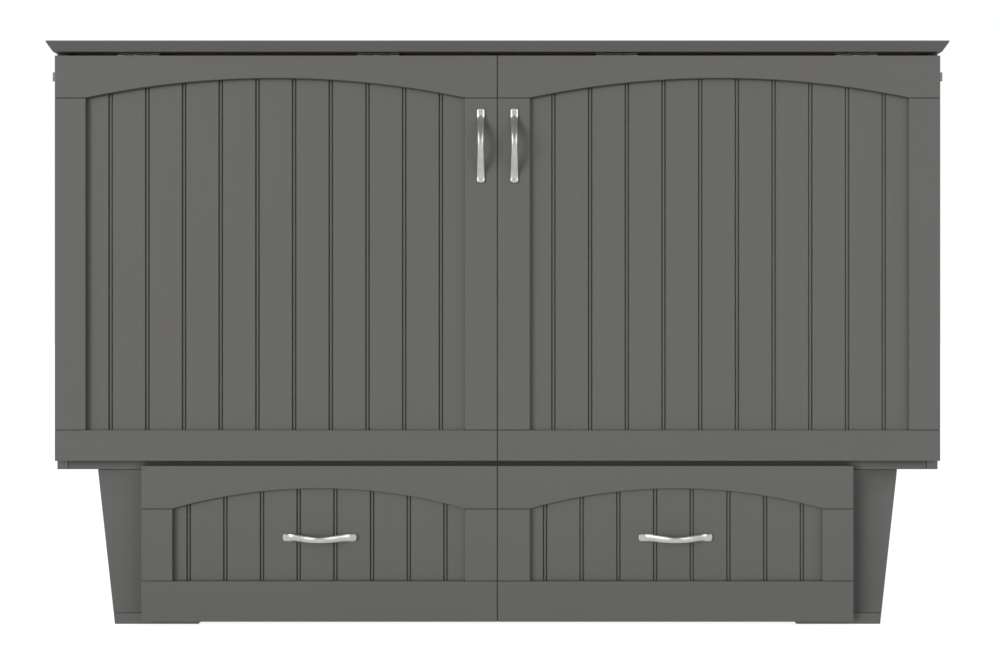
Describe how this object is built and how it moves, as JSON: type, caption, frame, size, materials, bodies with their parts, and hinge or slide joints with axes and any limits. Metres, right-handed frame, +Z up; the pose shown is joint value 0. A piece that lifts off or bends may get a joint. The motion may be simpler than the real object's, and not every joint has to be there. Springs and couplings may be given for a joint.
{
  "type": "cabinet bed",
  "caption": "Closed chest-style wall bed with arched beaded doors that fold down with the lid as a slatted bed, over a rolling drawer between splayed pedestal legs.",
  "frame": {"origin": "on the floor, at the middle of the footprint box", "axes": "+X along the front to the viewer's right, +Y to the wall behind, +Z up"},
  "size_m": [1.6698, 0.69, 1.0816],
  "materials": {
    "grey_paint": "satin grey paint",
    "brushed_nickel": "brushed",
    "zinc_steel": "zinc plated",
    "pine_slat": "planed, unfinished",
    "birch_board": "clear lacquer",
    "black_rubber": "matte",
    "felt_pad": "felt",
    "roller_rubber": "smooth"
  },
  "bodies": {
    "case": {"case_side_left": "grey_paint", "case_side_right": "grey_paint", "case_bottom": "grey_paint", "case_back": "grey_paint", "back_rail": "pine_slat", "leg_front_left": "grey_paint", "leg_front_right": "grey_paint", "leg_outer_panels": "grey_paint", "leg_inner_panels": "grey_paint", "leg_back_panels": "grey_paint", "feet": "grey_paint", "head_slats": "pine_slat", "head_bearers": "pine_slat", "rubber_bumpers": "black_rubber", "lower_hinge_case_leaves": "zinc_steel", "lock_collars": "brushed_nickel"},
    "front": {"left_door_top_rail": "grey_paint", "left_door_bottom_rail": "grey_paint", "left_door_outer_stile": "grey_paint", "left_door_inner_stile": "grey_paint", "left_door_panel": "grey_paint", "right_door_top_rail": "grey_paint", "right_door_bottom_rail": "grey_paint", "right_door_outer_stile": "grey_paint", "right_door_inner_stile": "grey_paint", "right_door_panel": "grey_paint", "door_handle_left": "brushed_nickel", "door_handle_right": "brushed_nickel", "mid_slats": "pine_slat", "lower_hinge_door_leaves": "zinc_steel", "upper_hinge_door_leaves": "zinc_steel"},
    "lid": {"lid_board": "grey_paint", "lid_frame": "pine_slat", "foot_slats": "pine_slat", "upper_hinge_lid_leaves": "zinc_steel", "lock_keepers": "zinc_steel"},
    "drawer": {"left_drawer_top_rail": "grey_paint", "left_drawer_bottom_rail": "grey_paint", "left_drawer_outer_stile": "grey_paint", "left_drawer_inner_stile": "grey_paint", "left_drawer_panel": "grey_paint", "right_drawer_top_rail": "grey_paint", "right_drawer_bottom_rail": "grey_paint", "right_drawer_outer_stile": "grey_paint", "right_drawer_inner_stile": "grey_paint", "right_drawer_panel": "grey_paint", "drawer_handle_left": "brushed_nickel", "drawer_handle_right": "brushed_nickel", "drawer_side_left": "birch_board", "drawer_side_right": "birch_board", "drawer_subfront": "birch_board", "drawer_back": "birch_board", "drawer_bottom": "birch_board", "roller_brackets": "zinc_steel", "support_pads": "felt_pad"},
    "rollers_front": {"rollers_front": "roller_rubber"},
    "rollers_rear": {"rollers_rear": "roller_rubber"},
    "lock_left": {"lock_left": "brushed_nickel"},
    "lock_right": {"lock_right": "brushed_nickel"}
  },
  "joints": [
    {"name": "front_fold", "type": "hinge", "parent": "case", "child": "front", "pos_m": [0, -0.3055, 0.3087], "axis": [1, 0, 0], "range_deg": [0, 90]},
    {"name": "lid_fold", "type": "hinge", "parent": "front", "child": "lid", "pos_m": [0, -0.31, 1.05545], "axis": [1, 0, 0], "range_deg": [0, 90]},
    {"name": "drawer_slide", "type": "slide", "parent": "case", "child": "drawer", "axis": [0, -1, 0], "range_m": [0, 1.42]},
    {"name": "rollers_front_spin", "type": "hinge", "parent": "drawer", "child": "rollers_front", "pos_m": [0, -0.221, 0.02], "axis": [1, 0, 0], "continuous": true},
    {"name": "rollers_rear_spin", "type": "hinge", "parent": "drawer", "child": "rollers_rear", "pos_m": [0, 0.229, 0.02], "axis": [1, 0, 0], "continuous": true},
    {"name": "lock_left_turn", "type": "hinge", "parent": "case", "child": "lock_left", "pos_m": [-0.82085, -0.281, 1.0227], "axis": [-1, 0, 0], "range_deg": [0, 90]},
    {"name": "lock_right_turn", "type": "hinge", "parent": "case", "child": "lock_right", "pos_m": [0.82085, -0.281, 1.0227], "axis": [-1, 0, 0], "range_deg": [0, 90]}
  ],
  "couplings": [
    {"joint": "rollers_front_spin", "follows": "drawer_slide", "rad_per_m": 50},
    {"joint": "rollers_rear_spin", "follows": "drawer_slide", "rad_per_m": 50}
  ]
}
